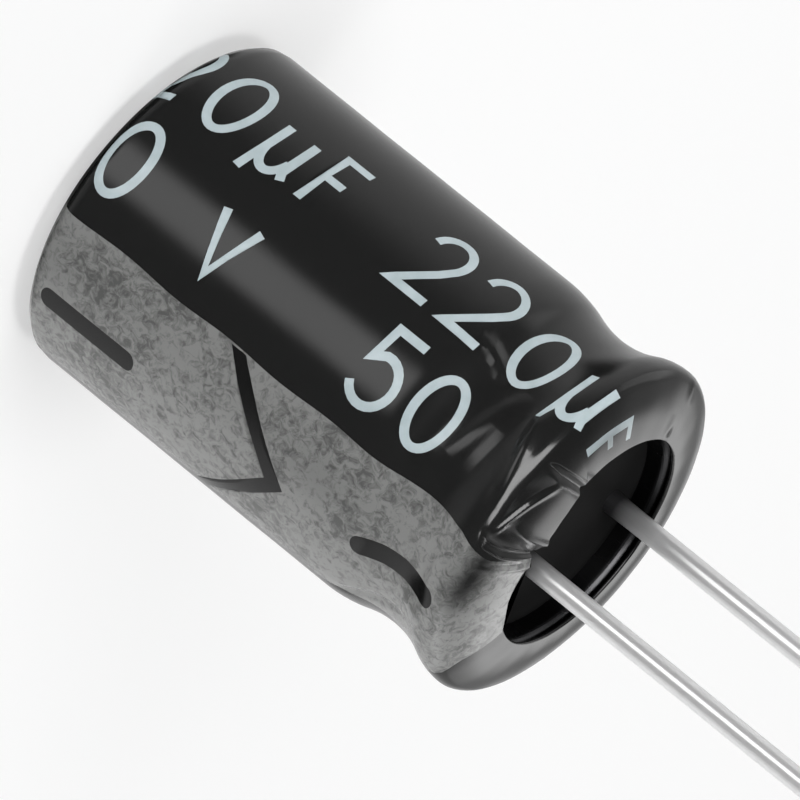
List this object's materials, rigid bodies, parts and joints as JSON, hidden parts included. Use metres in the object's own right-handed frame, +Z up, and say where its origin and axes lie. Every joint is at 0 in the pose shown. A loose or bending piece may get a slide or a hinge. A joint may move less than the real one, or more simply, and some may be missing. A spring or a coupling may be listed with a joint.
{
  "type": "electrolytic capacitor",
  "caption": "Radial aluminium electrolytic capacitor: round sleeved can with a beaded neck, rubber bung, printed negative stripe and two parallel wire leads.",
  "frame": {"origin": "middle of the closed head, at the level the sleeved head stands on", "axes": "+Z up along the can from the head to the leads; the leads lie on the X axis, negative on +X under the stripe's side, positive on -X"},
  "size_m": [0.0084, 0.0084, 0.0329],
  "materials": {
    "sleeve": "glossy black shrink film",
    "stripe_ink": "grey printed ink under gloss, mottled",
    "can": "bright drawn aluminium",
    "bung": "matt black rubber",
    "terminal": "satin",
    "lead": "bright tinned wire",
    "anode_foil": "dull etched foil",
    "cathode_foil": "satin foil",
    "paper": "soaked kraft paper",
    "tape": "thin amber film"
  },
  "bodies": {
    "root": {"sleeve": "sleeve", "negative_stripe": "stripe_ink", "can": "can", "bung": "bung", "terminal_positive": "terminal", "terminal_negative": "terminal", "lead_positive": "lead", "lead_negative": "lead", "anode_foil": "anode_foil", "cathode_foil": "cathode_foil", "separator_inner": "paper", "separator_outer": "paper", "element_tape": "tape"}
  },
  "joints": []
}
